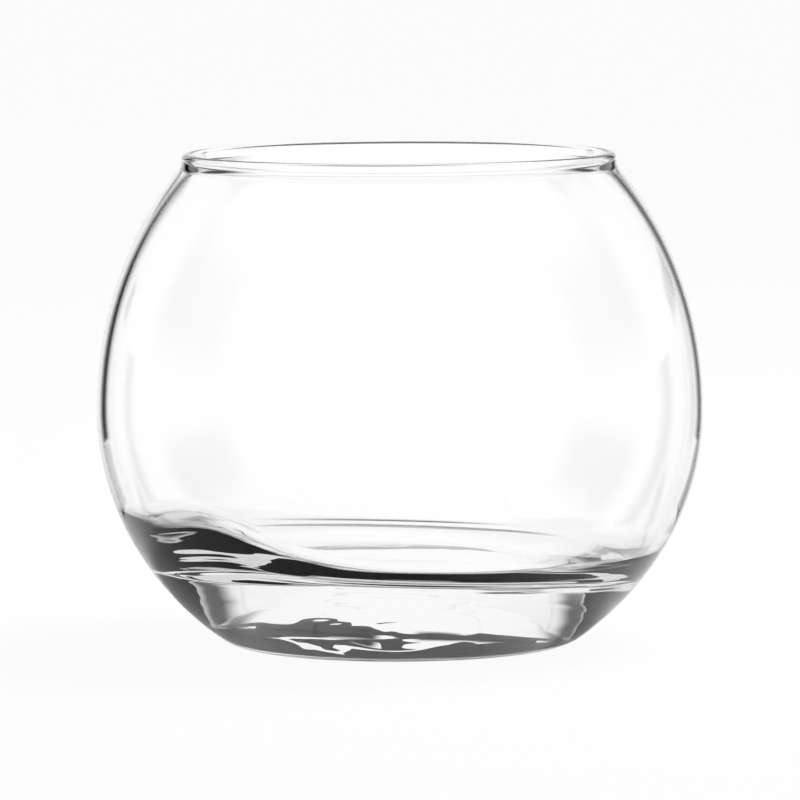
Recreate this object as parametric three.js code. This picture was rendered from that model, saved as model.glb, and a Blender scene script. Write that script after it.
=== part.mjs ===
// Clear glass ball vase: one blown piece, a ball cut off by an upright fire-polished lip,
// thin in the wall and heavy in the base. Millimetres, +Z up, origin on the axis in the plane it stands on.
import * as THREE from 'three';

// Outside of the ball
const BALL_DIAMETER = 150;
const EQUATOR_HEIGHT = 58.5;
const OVERALL_HEIGHT = 121.8;

// Foot: where the belly would meet the table, the round at its edge and the ring it stands on
const FOOT_DIAMETER = 83.4;
const HEEL_RADIUS = 11;
const BEARING_RING_WIDTH = 6;
const PUSH_UP_DEPTH = 1.2;

// Lip: a short upright band with a full round top
const LIP_DIAMETER = 107.4;
const LIP_HEIGHT = 3.2;
const LIP_WALL = 2.8;
const NECK_FILLET = 2;

// Inside: wall at the equator, wall under the belly, and the thick floor
const WALL = 2.1;
const BELLY_WALL = 3.4;
const FLOOR_THICKNESS = 22;
const INNER_HEEL_RADIUS = 11;

// Facets
const SEGMENTS = 72;
const STEPS = { pushUp: 4, heel: 4, belly: 8, shoulder: 8, neck: 3, lip: 6, innerHeel: 5 };

const QUARTER = Math.PI / 2;
const BISECTIONS = 60;

// Sizes that follow from the ones above
const ballRadius = BALL_DIAMETER / 2;
const lipRadius = LIP_DIAMETER / 2;
const neckHeight = OVERALL_HEIGHT - LIP_HEIGHT;
const innerRadius = ballRadius - WALL;
const innerLipRadius = lipRadius - LIP_WALL;

// Height of a half ellipse that leaves the equator at `semiR` and passes `radius` at `rise` from it
function semiHeight(semiR, radius, rise) {
  return rise / Math.sqrt(1 - (radius / semiR) ** 2);
}

// Angle in [0, quarter turn] where a function that falls from positive to negative crosses zero
function crossing(value) {
  let low = 0;
  let high = QUARTER;
  for (let i = 0; i < BISECTIONS; i++) {
    const middle = (low + high) / 2;
    if (value(middle) > 0) low = middle;
    else high = middle;
  }
  return (low + high) / 2;
}

// Point and outward unit normal of an ellipse about the axis, in the (radius, height) plane
function onEllipse(semiR, semiZ, angle) {
  const point = new THREE.Vector2(semiR * Math.cos(angle), semiZ * Math.sin(angle));
  const normal = new THREE.Vector2(Math.cos(angle) / semiR, Math.sin(angle) / semiZ).normalize();
  return { point, normal };
}

// Round between a half ellipse that hangs from the equator and a flat floor below it
function heelRound(semiR, semiZ, floorHeight, radius) {
  const drop = EQUATOR_HEIGHT - floorHeight - radius;
  const angle = crossing((a) => drop + onEllipse(semiR, semiZ, -a).point.y
    - radius * onEllipse(semiR, semiZ, -a).normal.y);
  const { point, normal } = onEllipse(semiR, semiZ, -angle);
  return {
    ellipseAngle: -angle,
    centreR: point.x - radius * normal.x,
    centreZ: floorHeight + radius,
    startAngle: Math.atan2(normal.y, normal.x),
  };
}

// Round between a half ellipse that stands on the equator and an upright lip inside it
function neckRound(semiR, semiZ, lip, radius) {
  const angle = crossing((a) => onEllipse(semiR, semiZ, a).point.x
    + radius * (onEllipse(semiR, semiZ, a).normal.x - 1) - lip);
  const { point, normal } = onEllipse(semiR, semiZ, angle);
  return {
    ellipseAngle: angle,
    centreR: lip + radius,
    centreZ: EQUATOR_HEIGHT + point.y + radius * normal.y,
    endAngle: Math.atan2(normal.y, normal.x) - Math.PI,
  };
}

// Points along an elliptical arc in the (radius, height) plane
function arc(centreR, centreZ, semiR, semiZ, from, to, steps) {
  return new THREE.EllipseCurve(centreR, centreZ, semiR, semiZ, from, to, to < from).getPoints(steps);
}

// Underside and outside: push-up, bearing ring, heel, belly, shoulder and neck
function outerProfile() {
  const bellyDrop = semiHeight(ballRadius, FOOT_DIAMETER / 2, EQUATOR_HEIGHT);
  const shoulderRise = semiHeight(ballRadius, lipRadius, neckHeight - EQUATOR_HEIGHT);
  const heel = heelRound(ballRadius, bellyDrop, 0, HEEL_RADIUS);
  const neck = neckRound(ballRadius, shoulderRise, lipRadius, NECK_FILLET);
  const ringInner = heel.centreR - BEARING_RING_WIDTH;
  const dome = (ringInner ** 2 + PUSH_UP_DEPTH ** 2) / (2 * PUSH_UP_DEPTH);
  const domeEdge = Math.acos(ringInner / dome);
  return [
    ...arc(0, PUSH_UP_DEPTH - dome, dome, dome, QUARTER, domeEdge, STEPS.pushUp),
    ...arc(heel.centreR, heel.centreZ, HEEL_RADIUS, HEEL_RADIUS, -QUARTER, heel.startAngle, STEPS.heel),
    ...arc(0, EQUATOR_HEIGHT, ballRadius, bellyDrop, heel.ellipseAngle, 0, STEPS.belly),
    ...arc(0, EQUATOR_HEIGHT, ballRadius, shoulderRise, 0, neck.ellipseAngle, STEPS.shoulder),
    ...arc(neck.centreR, neck.centreZ, NECK_FILLET, NECK_FILLET, neck.endAngle, -Math.PI, STEPS.neck),
  ];
}

// Round top of the lip, from its outside to its inside
function lipProfile() {
  const round = LIP_WALL / 2;
  return arc(lipRadius - round, OVERALL_HEIGHT - round, round, round, 0, Math.PI, STEPS.lip);
}

// Inside: neck, shoulder, belly, the round at the floor and the floor itself
function innerProfile() {
  const shoulderRise = semiHeight(innerRadius, innerLipRadius, neckHeight - EQUATOR_HEIGHT);
  const bellyDrop = semiHeight(ballRadius, FOOT_DIAMETER / 2, EQUATOR_HEIGHT) - BELLY_WALL;
  const round = NECK_FILLET + LIP_WALL;
  const neck = neckRound(innerRadius, shoulderRise, innerLipRadius, round);
  const heel = heelRound(innerRadius, bellyDrop, FLOOR_THICKNESS, INNER_HEEL_RADIUS);
  return [
    ...arc(neck.centreR, neck.centreZ, round, round, -Math.PI, neck.endAngle, STEPS.neck),
    ...arc(0, EQUATOR_HEIGHT, innerRadius, shoulderRise, neck.ellipseAngle, 0, STEPS.shoulder),
    ...arc(0, EQUATOR_HEIGHT, innerRadius, bellyDrop, 0, heel.ellipseAngle, STEPS.belly),
    ...arc(heel.centreR, heel.centreZ, INNER_HEEL_RADIUS, INNER_HEEL_RADIUS, heel.startAngle, -QUARTER,
      STEPS.innerHeel),
    new THREE.Vector2(0, FLOOR_THICKNESS),
  ];
}

// Neighbouring arcs share their end points, so each point is kept once
function withoutRepeats(points) {
  const nearest = 1e-6;
  return points.filter((point, i) => i === 0 || point.distanceTo(points[i - 1]) > nearest);
}

function glassBowl() {
  const profile = withoutRepeats([...outerProfile(), ...lipProfile(), ...innerProfile()]);
  profile[0].x = 0;
  const geometry = new THREE.LatheGeometry(profile, SEGMENTS);
  geometry.rotateX(QUARTER);
  const clearGlass = new THREE.MeshStandardMaterial({ color: 0xf4f7f5, roughness: 0.02, metalness: 0 });
  clearGlass.transparent = true;
  clearGlass.opacity = 0.25;
  const mesh = new THREE.Mesh(geometry, clearGlass);
  mesh.name = 'glass_bowl';
  return mesh;
}

const vase = new THREE.Group();
vase.add(glassBowl());

export default vase;
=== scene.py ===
"""Clear glass ball vase, blown in one piece, on a white studio table.

The bowl is a section turned about its upright axis. Its sizes are properties, and the ball's width and
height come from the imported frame. Metres, +Z up, origin on the axis in the plane that the vase stands on.
"""
import math

import bpy
import numpy as np
from mathutils import Matrix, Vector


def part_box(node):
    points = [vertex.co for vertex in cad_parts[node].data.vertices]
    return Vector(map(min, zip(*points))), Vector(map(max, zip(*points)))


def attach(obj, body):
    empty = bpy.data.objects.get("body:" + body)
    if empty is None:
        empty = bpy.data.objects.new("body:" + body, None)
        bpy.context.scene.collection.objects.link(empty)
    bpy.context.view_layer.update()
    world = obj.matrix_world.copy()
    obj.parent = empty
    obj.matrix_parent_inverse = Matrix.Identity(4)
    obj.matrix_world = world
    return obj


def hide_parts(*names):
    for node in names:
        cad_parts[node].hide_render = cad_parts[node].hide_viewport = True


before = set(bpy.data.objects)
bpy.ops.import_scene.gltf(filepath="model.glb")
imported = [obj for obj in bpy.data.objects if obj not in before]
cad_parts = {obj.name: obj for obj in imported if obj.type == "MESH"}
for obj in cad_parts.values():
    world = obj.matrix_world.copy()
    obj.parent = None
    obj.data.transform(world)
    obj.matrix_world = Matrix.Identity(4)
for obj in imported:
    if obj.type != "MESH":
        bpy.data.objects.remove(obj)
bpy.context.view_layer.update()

bl_info = {
    "name": "Ball vase",
    "version": (1, 0, 0),
    "blender": (4, 5, 0),
    "location": "View3D > Sidebar > Vase",
    "description": "A clear glass ball vase and the white table it is shown on",
    "category": "Add Mesh",
}

MM = 0.001
QUARTER = math.pi / 2
DEG = math.radians(1)
bowl_low, bowl_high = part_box("glass_bowl")

# Facets of the bowl: round the axis, and along each stretch of its section
SEGMENTS = 240
STEPS = {
    "push_up": 24, "ring": 4, "heel": 24, "belly": 52, "shoulder": 44, "neck": 10, "lip": 26,
    "inner_neck": 14, "inner_shoulder": 44, "inner_belly": 40, "inner_heel": 44, "floor": 40,
}

# Waves in the thick glass: length along the section in metres, turns round the axis and phase
WAVES = ((9.0 * MM, 1, 1.6), (5.3 * MM, 1, 0.2), (3.7 * MM, 0, 3.1), (2.6 * MM, 1, 0.8))

# Side where the glass ran: how narrow its swell is, and the depth, number and offset of the ripples round it
SWELL_POWER = 12
RIPPLE_DEPTH = 0.3
RIPPLES = 5
RIPPLE_OFFSET = 12 * DEG


def srgb(code):
    """Linear RGBA of an sRGB hex colour."""
    parts = [int(code[i : i + 2], 16) / 255 for i in (1, 3, 5)]
    return [c / 12.92 if c <= 0.04045 else ((c + 0.055) / 1.055) ** 2.4 for c in parts] + [1.0]


def length(name, description, default):
    """A property for a length, in metres."""
    return bpy.props.FloatProperty(
        name=name,
        description=description,
        default=default,
        min=0.0,
        precision=5,
        subtype="DISTANCE",
        unit="LENGTH",
    )


def colour(name, description, code):
    """A property for a colour."""
    return bpy.props.FloatVectorProperty(
        name=name, description=description, default=srgb(code), size=4, min=0.0, max=1.0, subtype="COLOR"
    )


class BallVaseSizes(bpy.types.PropertyGroup):
    """Sizes of the bowl."""

    ball_diameter: length("Ball diameter", "Width at the equator", bowl_high[0] - bowl_low[0])
    overall_height: length("Overall height", "From the table to the lip's top", bowl_high[2] - bowl_low[2])
    equator_height: length("Equator height", "Height of the widest ring", 58.5 * MM)
    foot_diameter: length("Foot diameter", "Where the belly would meet the table", 83.4 * MM)
    heel_radius: length("Heel radius", "Round between the belly and the underside", 11 * MM)
    bearing_ring: length("Bearing ring", "Width of the ring that the vase stands on", 6 * MM)
    push_up: length("Push-up", "Rise of the underside inside the bearing ring", 1.2 * MM)
    lip_diameter: length("Lip diameter", "Outside width of the upright lip", 107.4 * MM)
    lip_height: length("Lip height", "Height of the upright lip", 3.2 * MM)
    lip_wall: length("Lip wall", "Thickness of the lip, which is round on top", 2.8 * MM)
    neck_fillet: length("Neck fillet", "Round between the shoulder and the lip", 2 * MM)
    wall: length("Wall", "Thickness of the glass at the equator", 2.1 * MM)
    belly_wall: length("Belly wall", "Thickness that the wall grows to under the belly", 3.4 * MM)
    floor_thickness: length("Floor thickness", "Height of the floor inside the bowl", 22 * MM)
    inner_heel_radius: length("Inner heel radius", "Round between the inner wall and the floor", 11 * MM)
    thick_round: length("Thick round", "Extra inner heel radius on the side where the glass ran", 15 * MM)
    thick_turn: bpy.props.FloatProperty(
        name="Thick turn", description="Turn of that side about the axis", default=212 * DEG, subtype="ANGLE"
    )
    floor_lean: length("Floor lean", "Drop of the floor from its centre to its right side", 2 * MM)
    wave_slope: bpy.props.FloatProperty(
        name="Wave slope", description="Steepness of each wave", default=0.5 * DEG, subtype="ANGLE"
    )


class BallVaseFinish(bpy.types.PropertyGroup):
    """Colours of the glass and of the table."""

    glass_tint: colour("Glass tint", "What white light turns to in a metre of the glass", "#EEF2EF")
    glass_depth: bpy.props.FloatProperty(
        name="Glass depth", description="How strongly the tint shows in thick glass", default=1.0, min=0.0
    )
    table_colour: colour("Table colour", "Paint of the table", "#F2F2F2")


def add_node(tree, kind, settings=None, **sockets):
    """Adds a node, sets its settings, and sets or links its sockets by name, or by number after _."""
    node = tree.nodes.new(kind)
    for name, value in (settings or {}).items():
        setattr(node, name, value)
    for name, value in sockets.items():
        key = int(name[1:]) if name[1:].isdigit() else name.replace("_", " ")
        if isinstance(value, bpy.types.NodeSocket):
            tree.links.new(value, node.inputs[key])
        else:
            node.inputs[key].default_value = value
    return node


def new_material(name):
    """An empty node material and its tree."""
    material = bpy.data.materials.new(name)
    material.use_nodes = True
    material.node_tree.nodes.clear()
    return material, material.node_tree


def eased(value, start, end):
    """0 at start and 1 at end, with a smooth slope between."""
    share = np.clip((value - start) / (end - start), 0, 1)
    return share * share * (3 - 2 * share)


# Section of the bowl, in the (radius, height) plane
def semi_height(semi_r, radius, rise):
    """Height of a half ellipse that leaves the equator at semi_r and passes radius at rise from it."""
    return rise / math.sqrt(1 - (radius / semi_r) ** 2)


def crossing(value):
    """Angle in a quarter turn where a function that falls from positive to negative crosses zero."""
    low, high = 0.0, QUARTER
    for _ in range(50):
        middle = (low + high) / 2
        low, high = (middle, high) if value(middle) > 0 else (low, middle)
    return (low + high) / 2


def on_ellipse(semi_r, semi_z, angle):
    """Point and outward unit normal of an ellipse about the axis."""
    nr, nz = math.cos(angle) / semi_r, math.sin(angle) / semi_z
    size = math.hypot(nr, nz)
    return semi_r * math.cos(angle), semi_z * math.sin(angle), nr / size, nz / size


def heel_round(semi_r, semi_z, drop, radius):
    """Round between a half ellipse that hangs from the equator and a flat that lies drop below it."""

    def gap(angle):
        _, z, _, nz = on_ellipse(semi_r, semi_z, -angle)
        return drop - radius + z - radius * nz

    angle = -crossing(gap)
    r, _, nr, nz = on_ellipse(semi_r, semi_z, angle)
    return angle, r - radius * nr, math.atan2(nz, nr)


def neck_round(semi_r, semi_z, lip, radius):
    """Round between a half ellipse that stands on the equator and an upright lip inside it."""

    def gap(angle):
        r, _, nr, _ = on_ellipse(semi_r, semi_z, angle)
        return r + radius * (nr - 1) - lip

    angle = crossing(gap)
    _, z, nr, nz = on_ellipse(semi_r, semi_z, angle)
    return angle, z + radius * nz, math.atan2(nz, nr) - math.pi


def arc(centre, semi, start, end, stretch):
    """Points along an elliptical arc, without its last point."""
    angles = np.linspace(start, end, STEPS[stretch], endpoint=False)
    return np.stack([centre[0] + semi[0] * np.cos(angles), centre[1] + semi[1] * np.sin(angles)], axis=1)


def flat(start, end, height, stretch):
    """Points along a level line, without its last point."""
    radii = np.linspace(start, end, STEPS[stretch], endpoint=False)
    return np.stack([radii, np.full_like(radii, height)], axis=1)


def outer_section(s):
    """Underside, heel, belly, shoulder and neck."""
    ball = s.ball_diameter / 2
    lip = s.lip_diameter / 2
    equator = (0.0, s.equator_height)
    belly = (ball, semi_height(ball, s.foot_diameter / 2, s.equator_height))
    shoulder = (ball, semi_height(ball, lip, s.overall_height - s.lip_height - s.equator_height))
    heel_angle, heel_r, heel_start = heel_round(*belly, s.equator_height, s.heel_radius)
    neck_angle, neck_z, neck_end = neck_round(*shoulder, lip, s.neck_fillet)
    ring_inner = heel_r - s.bearing_ring
    dome = (ring_inner**2 + s.push_up**2) / (2 * s.push_up)
    neck_centre = (lip + s.neck_fillet, s.equator_height + neck_z)
    return [
        arc((0.0, s.push_up - dome), (dome, dome), QUARTER, math.acos(ring_inner / dome), "push_up"),
        flat(ring_inner, heel_r, 0.0, "ring"),
        arc((heel_r, s.heel_radius), (s.heel_radius,) * 2, -QUARTER, heel_start, "heel"),
        arc(equator, belly, heel_angle, 0.0, "belly"),
        arc(equator, shoulder, 0.0, neck_angle, "shoulder"),
        arc(neck_centre, (s.neck_fillet,) * 2, neck_end, -math.pi, "neck"),
    ]


def inner_section(s, wider, lean):
    """Top of the lip, neck, shoulder, belly, a heel wider by wider, and a floor that rises by lean."""
    ball = s.ball_diameter / 2
    inner = ball - s.wall
    lip = s.lip_diameter / 2 - s.lip_wall
    equator = (0.0, s.equator_height)
    top = s.lip_wall / 2
    fillet = s.neck_fillet + s.lip_wall
    belly = (inner, semi_height(ball, s.foot_diameter / 2, s.equator_height) - s.belly_wall)
    shoulder = (inner, semi_height(inner, lip, s.overall_height - s.lip_height - s.equator_height))
    neck_angle, neck_z, neck_end = neck_round(*shoulder, lip, fillet)
    heel, side = s.inner_heel_radius + wider, s.floor_thickness + lean
    heel_angle, heel_r, heel_start = heel_round(*belly, s.equator_height - side, heel)
    floor = np.linspace(heel_r, 0.0, STEPS["floor"])
    return [
        arc((lip + top, s.overall_height - top), (top, top), 0.0, math.pi, "lip"),
        arc((lip + fillet, s.equator_height + neck_z), (fillet, fillet), -math.pi, neck_end, "inner_neck"),
        arc(equator, shoulder, neck_angle, 0.0, "inner_shoulder"),
        arc(equator, belly, 0.0, heel_angle, "inner_belly"),
        arc((heel_r, side + heel), (heel, heel), heel_start, -QUARTER, "inner_heel"),
        np.stack([floor, s.floor_thickness + lean * eased(floor, 0.0, heel_r)], axis=1),
    ]


def waves(section, turn):
    """How far the skin of the thick base stands out, along a section, for a wave slope of one."""
    steps = np.linalg.norm(np.diff(section, axis=0, prepend=section[:1]), axis=1)
    along = np.cumsum(steps)
    height = np.zeros_like(along)
    for wave, turns, phase in WAVES:
        height += wave / (2 * math.pi) * np.sin(2 * math.pi * along / wave + turns * turn + phase)
    return height


def swell(off):
    """Share of the wider inner heel, at a turn that is off the middle of the side where the glass ran."""
    ripple = 1 - RIPPLE_DEPTH * math.cos(RIPPLES * (off + RIPPLE_OFFSET))
    return ((1 + math.cos(off)) / 2) ** SWELL_POWER * ripple


def bowl_columns(s):
    """Sections of the bowl, as an array of turns about the axis, points, and radius and height."""
    outer = outer_section(s)
    columns = []
    for turn in np.linspace(0, 2 * math.pi, SEGMENTS, endpoint=False):
        wider = s.thick_round * swell(turn - s.thick_turn)
        lean = -s.floor_lean * math.cos(turn)
        section = np.concatenate(outer + inner_section(s, wider, lean))
        along = np.gradient(section, axis=0)
        out = np.stack([along[:, 1], -along[:, 0]], axis=1)
        out /= np.linalg.norm(out, axis=1, keepdims=True)
        low = eased(section[:, 1], s.floor_thickness + s.inner_heel_radius, s.floor_thickness)
        off_foot = eased(section[:, 1], s.push_up, 3 * s.push_up)
        off_axis = eased(section[:, 0], 0, s.heel_radius)
        rise = s.wave_slope * waves(section, turn) * low * off_foot * off_axis
        columns.append(section + out * rise[:, None])
    return np.array(columns)


def turned_mesh(name, columns):
    """A closed mesh from sections that start and end on the axis."""
    segments, rows, _ = columns.shape
    turns = np.linspace(0, 2 * math.pi, segments, endpoint=False)[:, None]
    radius, height = columns[:, 1:-1, 0], columns[:, 1:-1, 1]
    rings = np.stack([radius * np.cos(turns), radius * np.sin(turns), height], axis=2)
    rings = rings.transpose(1, 0, 2).reshape(-1, 3)
    ends = [(0.0, 0.0, columns[0, i, 1]) for i in (0, -1)]
    points = [ends[0], *rings.tolist(), ends[1]]
    last = len(points) - 1
    faces = []
    for j in range(segments):
        k = (j + 1) % segments
        faces.append((0, 1 + k, 1 + j))
        faces.append((last, last - segments + j, last - segments + k))
        for i in range(rows - 3):
            a, b = 1 + i * segments, 1 + (i + 1) * segments
            faces.append((a + j, a + k, b + k, b + j))
    mesh = bpy.data.meshes.new(name)
    mesh.from_pydata(points, [], faces)
    mesh.polygons.foreach_set("use_smooth", [True] * len(mesh.polygons))
    return mesh


def blown_glass(finish):
    """Soda-lime glass, blown and fire polished: clear and colourless, with a mirror-smooth skin."""
    material, tree = new_material("soda_lime_glass_fire_polished")
    surface = add_node(
        tree,
        "ShaderNodeBsdfPrincipled",
        Base_Color=srgb("#FFFFFF"),
        Roughness=0.0,
        IOR=1.52,
        Transmission_Weight=1.0,
    )
    volume = add_node(tree, "ShaderNodeVolumeAbsorption", Color=finish.glass_tint, Density=finish.glass_depth)
    add_node(
        tree, "ShaderNodeOutputMaterial", Surface=surface.outputs["BSDF"], Volume=volume.outputs["Volume"]
    )
    return material


class VASE_OT_bowl(bpy.types.Operator):
    """Turn the glass bowl"""

    bl_idname = "vase.bowl"
    bl_label = "Glass bowl"

    def execute(self, context):
        mesh = turned_mesh("blown_glass_bowl", bowl_columns(context.scene.ball_vase_sizes))
        mesh.materials.append(blown_glass(context.scene.ball_vase_finish))
        bowl = bpy.data.objects.new("blown_glass_bowl", mesh)
        context.collection.objects.link(bowl)
        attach(bowl, "root")
        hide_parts("glass_bowl")
        return {"FINISHED"}


# Stage: light that the room gives, the table, and the share of plain white in it that the camera sees
ROOM_LIGHT = 0.5
TABLE_HALF = 6.0
TABLE_WHITE = 0.93

# Distances from the axis over which reflections of the table turn from its own shadow to white
MIRROR_NEAR = 0.10
MIRROR_FAR = 0.35

# Soft key lamp, above and behind the vase to its right
KEY_PLACE = (0.56, 0.33, 1.13)
KEY_AIM = (0.0, 0.0, 0.04)
KEY_POWER = 11.0
KEY_SIZE = 0.5

# Dark parts of the room, as glass sees them: left and right azimuth from straight behind towards the right,
# low and high elevation and softness, all in degrees, and tone
DARK_ZONES = (
    (-104, -66, 9, 31, 7, 0.02),
    (66, 104, 9, 31, 7, 0.02),
    (-65, 65, 39, 62, 4, 0.05),
    (-40, -3, 4.5, 8.5, 1, 0.0),
    (3.6, 40, 4.5, 8.5, 1, 0.0),
)

# Cards that stand behind the vase and that the camera doesn't see; they show only in the glass and cast no
# shadow: left and right azimuth in degrees, radius, bottom and top in metres, the tone that they glow with in
# the middle, and the share of each half that fades to glowing white
CARDS = {
    "left_card": (-45, -26, 0.40, 0.0, 0.25, 0.0, 0.9),
    "right_card": (22, 37, 0.40, 0.0, 0.25, 0.1, 0.9),
    "foot_card": (-36, 36, 0.068, 0.0, 0.0081, 0.03, 0.35),
    "heel_card": (-36, 36, 0.068, 0.0087, 0.0098, 0.03, 0.35),
}
CARD_STEPS = 24

# Sheets that lie on the table and that the camera doesn't see, and that glow from black in the middle to
# white
# at their sides: corners in metres, and True for a sheet with a painted sheen, which shows through glass, or
# False for a matt one, which shows only in reflections
SHEETS = {
    "left_sheet": ((-0.281, 0.285), (-0.178, 0.358), (-0.104, 0.130), (-0.149, 0.076), False),
    "right_sheet": ((0.236, 0.322), (0.152, 0.370), (0.096, 0.136), (0.136, 0.096), False),
    "back_sheet": ((-0.13, 0.29), (0.13, 0.29), (0.05, 0.09), (-0.05, 0.09), True),
}
SHEET_LIFT = 0.0005
SHEET_TONE = 0.0
SHEET_SOFT = 0.8

# Painted sheen of the back sheet, by Layer Weight's Facing: it is dark up to the first, and from the second
# on it glows white, a painted reflection of the white room where the sheet is seen flat
PAINTED_SHEEN_START = 0.44
PAINTED_SHEEN_FULL = 0.56

# Camera at the photograph's viewing angle: places and reach in metres, lens and sensor in millimetres, and
# roll in radians
CAMERA_PLACE = (0.0, -1.8, 0.2193)
CAMERA_AIM = (0.0, 0.0, 0.0604)
CAMERA_LENS = 328.4
CAMERA_SENSOR = 36.0
CAMERA_ROLL = 0.005
CAMERA_REACH = 100.0

# Light that is thrown about more often than this inside the thick base stays dark
GLOSSY_BOUNCES = 3


def studio_room():
    """White to the camera and in reflections. Seen through glass it has dark sides, a dark top and two thin
    dark strips near the horizon."""
    world = bpy.data.worlds.new("studio_room")
    world.use_nodes = True
    tree = world.node_tree
    tree.nodes.clear()
    way = add_node(tree, "ShaderNodeTexCoord").outputs["Generated"]
    x, y, z = add_node(tree, "ShaderNodeSeparateXYZ", _0=way).outputs
    azimuth = add_node(tree, "ShaderNodeMath", {"operation": "ARCTAN2"}, _0=x, _1=y).outputs[0]
    elevation = add_node(tree, "ShaderNodeMath", {"operation": "ARCSINE"}, _0=z).outputs[0]
    tone = 1.0
    for left, right, low, high, soft, dark in DARK_ZONES:
        share = 1.0
        edges = (
            (azimuth, left, soft),
            (azimuth, right, -soft),
            (elevation, low, soft),
            (elevation, high, -soft),
        )
        for value, edge, rise in edges:
            share = add_node(
                tree,
                "ShaderNodeMapRange",
                {"interpolation_type": "SMOOTHSTEP"},
                Value=value,
                From_Min=(edge - rise) * DEG,
                From_Max=(edge + rise) * DEG,
                To_Max=share,
            ).outputs["Result"]
        tone = add_node(tree, "ShaderNodeMix", Factor=share, A=tone, B=dark).outputs["Result"]
    path = add_node(tree, "ShaderNodeLightPath").outputs
    seen = add_node(
        tree, "ShaderNodeMix", Factor=path["Is Transmission Ray"], A=1.0, B=tone
    ).outputs["Result"]
    direct = add_node(
        tree, "ShaderNodeMath", {"operation": "MAXIMUM"}, _0=path["Is Camera Ray"], _1=path["Is Glossy Ray"]
    ).outputs[0]
    strength = add_node(tree, "ShaderNodeMix", Factor=direct, A=ROOM_LIGHT, B=seen).outputs["Result"]
    light = add_node(tree, "ShaderNodeBackground", Color=srgb("#FFFFFF"), Strength=strength)
    add_node(tree, "ShaderNodeOutputWorld", Surface=light.outputs["Background"])
    return world


def table_paint(colour):
    """Board with matt white paint: white to the camera but for a faint shadow, white through glass, and in
    reflections shadowed near the vase, so that the foot mirrors the shadow round it."""
    material, tree = new_material("matt_white_painted_board")
    place = add_node(tree, "ShaderNodeTexCoord").outputs["Object"]
    away = add_node(tree, "ShaderNodeVectorMath", {"operation": "LENGTH"}, _0=place).outputs["Value"]
    path = add_node(tree, "ShaderNodeLightPath").outputs
    mirrored = add_node(
        tree,
        "ShaderNodeMapRange",
        {"interpolation_type": "SMOOTHSTEP"},
        Value=away,
        From_Min=MIRROR_NEAR,
        From_Max=MIRROR_FAR,
        To_Max=path["Is Glossy Ray"],
    ).outputs["Result"]
    in_glass = add_node(
        tree, "ShaderNodeMath", {"operation": "MAXIMUM"}, _0=path["Is Transmission Ray"], _1=mirrored
    ).outputs[0]
    share = add_node(
        tree, "ShaderNodeMix", Factor=path["Is Camera Ray"], A=in_glass, B=TABLE_WHITE
    ).outputs["Result"]
    paint = add_node(tree, "ShaderNodeBsdfDiffuse", Color=colour)
    white = add_node(tree, "ShaderNodeEmission", Color=srgb("#FFFFFF"), Strength=1.0)
    mixed = add_node(
        tree, "ShaderNodeMixShader", _0=share, _1=paint.outputs["BSDF"], _2=white.outputs["Emission"]
    )
    add_node(tree, "ShaderNodeOutputMaterial", Surface=mixed.outputs["Shader"])
    return material


def card_paper(name, tone, soft, across, painted_sheen):
    """Paper that glows with the strength tone in its middle and fades to glowing white over the soft share of
    each half, along X of the coordinates across.
    With painted_sheen the paper has a painted sheen: it glows white where it is seen flat, as a painted
    reflection of the white room."""
    material, tree = new_material(("painted_sheen" if painted_sheen else "matt") + "_glowing_paper_" + name)
    place = add_node(tree, "ShaderNodeTexCoord").outputs[across]
    share = add_node(tree, "ShaderNodeSeparateXYZ", _0=place).outputs["X"]
    off = add_node(tree, "ShaderNodeMath", {"operation": "SUBTRACT"}, _0=share, _1=0.5).outputs[0]
    shade = add_node(
        tree,
        "ShaderNodeMapRange",
        {"interpolation_type": "SMOOTHSTEP"},
        Value=add_node(tree, "ShaderNodeMath", {"operation": "ABSOLUTE"}, _0=off).outputs[0],
        From_Min=0.5 * (1 - soft),
        From_Max=0.5,
        To_Min=tone,
        To_Max=1.0,
    ).outputs["Result"]
    # Painted sheen: the glow turns white where the paper is seen flat, a painted reflection of the white room
    if painted_sheen:
        shade = add_node(
            tree,
            "ShaderNodeMapRange",
            {"interpolation_type": "SMOOTHSTEP"},
            Value=add_node(tree, "ShaderNodeLayerWeight", Blend=0.5).outputs["Facing"],
            From_Min=PAINTED_SHEEN_START,
            From_Max=PAINTED_SHEEN_FULL,
            To_Min=shade,
            To_Max=1.0,
        ).outputs["Result"]
    # The paper glows with the strength shade; no lamp lights it, so its white ends are glow
    paper = add_node(tree, "ShaderNodeEmission", Color=srgb("#FFFFFF"), Strength=shade)
    add_node(tree, "ShaderNodeOutputMaterial", Surface=paper.outputs["Emission"])
    return material


def standing_card(name, left, right, radius, bottom, top):
    """A card bent round the axis."""
    turns = [math.radians(left + (right - left) * i / CARD_STEPS) for i in range(CARD_STEPS + 1)]
    rows = [[(radius * math.sin(t), radius * math.cos(t), z) for t in turns] for z in (bottom, top)]
    row = len(turns)
    faces = [(i, i + 1, row + i + 1, row + i) for i in range(CARD_STEPS)]
    mesh = bpy.data.meshes.new(name)
    mesh.from_pydata(rows[0] + rows[1], [], faces)
    return mesh


def lying_sheet(name, corners, height):
    """A level sheet with four corners, whose UV runs from its left side to its right."""
    mesh = bpy.data.meshes.new(name)
    mesh.from_pydata([(x, y, height) for x, y in corners], [], [(0, 1, 2, 3)])
    across = mesh.uv_layers.new(name="across")
    across.uv.foreach_set("vector", [0.0, 0.0, 1.0, 0.0, 1.0, 1.0, 0.0, 1.0])
    return mesh


def aimed(place, target, roll):
    """Matrix of a camera or lamp at place that looks at target, turned by roll about its line of sight."""
    dx, dy, dz = [t - p for t, p in zip(target, place)]
    heading = math.atan2(-dx, dy)
    tilt = math.atan2(math.hypot(dx, dy), -dz)
    turn = Matrix.Rotation(heading, 4, "Z") @ Matrix.Rotation(tilt, 4, "X") @ Matrix.Rotation(-roll, 4, "Z")
    return Matrix.Translation(place) @ turn


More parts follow.
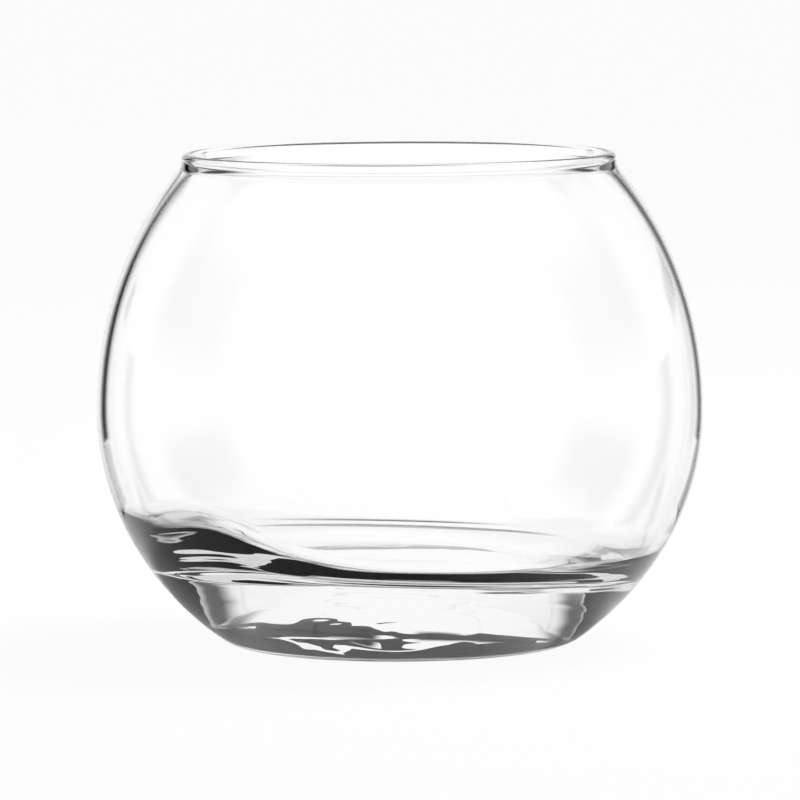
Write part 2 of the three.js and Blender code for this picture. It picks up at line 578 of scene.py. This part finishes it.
class VASE_OT_stage(bpy.types.Operator):
    """Set the table, the cards, the light and the camera"""

    bl_idname = "vase.stage"
    bl_label = "White table"

    def execute(self, context):
        scene = context.scene
        scene.world = studio_room()
        scene.view_settings.view_transform = "Standard"
        edge = TABLE_HALF
        mesh = lying_sheet("table", ((-edge, -edge), (edge, -edge), (edge, edge), (-edge, edge)), 0.0)
        mesh.materials.append(table_paint(scene.ball_vase_finish.table_colour))
        table = bpy.data.objects.new("table", mesh)
        context.collection.objects.link(table)
        cards = []
        for name, (*sizes, tone, soft) in CARDS.items():
            paper = card_paper(name, tone, soft, "Generated", False)
            cards.append((name, standing_card(name, *sizes), paper, True))
        for name, (*corners, painted_sheen) in SHEETS.items():
            paper = card_paper(name, SHEET_TONE, SHEET_SOFT, "UV", painted_sheen)
            cards.append((name, lying_sheet(name, corners, SHEET_LIFT), paper, painted_sheen))
        for name, mesh, paper, through in cards:
            mesh.materials.append(paper)
            card = bpy.data.objects.new(name, mesh)
            card.visible_camera = False
            card.visible_shadow = False
            card.visible_diffuse = False
            card.visible_transmission = through
            context.collection.objects.link(card)
        lamp = bpy.data.lights.new("key_light", "AREA")
        lamp.shape = "DISK"
        lamp.size = KEY_SIZE
        lamp.energy = KEY_POWER
        key = bpy.data.objects.new("key_light", lamp)
        key.matrix_world = aimed(KEY_PLACE, KEY_AIM, 0.0)
        key.visible_glossy = False
        key.visible_transmission = False
        context.collection.objects.link(key)
        lens = bpy.data.cameras.new("camera")
        lens.lens = CAMERA_LENS
        lens.sensor_width = CAMERA_SENSOR
        lens.clip_end = CAMERA_REACH
        camera = bpy.data.objects.new("camera", lens)
        camera.matrix_world = aimed(CAMERA_PLACE, CAMERA_AIM, CAMERA_ROLL)
        context.collection.objects.link(camera)
        scene.camera = camera
        scene.cycles.glossy_bounces = GLOSSY_BOUNCES
        return {"FINISHED"}


class VASE_PT_sidebar(bpy.types.Panel):
    """Sizes and builders of the ball vase"""

    bl_label = "Ball vase"
    bl_idname = "VASE_PT_sidebar"
    bl_space_type = "VIEW_3D"
    bl_region_type = "UI"
    bl_category = "Vase"

    def draw(self, context):
        for group in (context.scene.ball_vase_sizes, context.scene.ball_vase_finish):
            for name in group.__annotations__:
                self.layout.prop(group, name)
        for operator in (VASE_OT_bowl, VASE_OT_stage):
            self.layout.operator(operator.bl_idname)


CLASSES = (BallVaseSizes, BallVaseFinish, VASE_OT_bowl, VASE_OT_stage, VASE_PT_sidebar)


def register():
    for cls in CLASSES:
        bpy.utils.register_class(cls)
    bpy.types.Scene.ball_vase_sizes = bpy.props.PointerProperty(type=BallVaseSizes)
    bpy.types.Scene.ball_vase_finish = bpy.props.PointerProperty(type=BallVaseFinish)


def unregister():
    del bpy.types.Scene.ball_vase_finish
    del bpy.types.Scene.ball_vase_sizes
    for cls in reversed(CLASSES):
        bpy.utils.unregister_class(cls)


def main():
    register()
    bpy.ops.vase.bowl()
    bpy.ops.vase.stage()


if __name__ == "__main__":
    main()
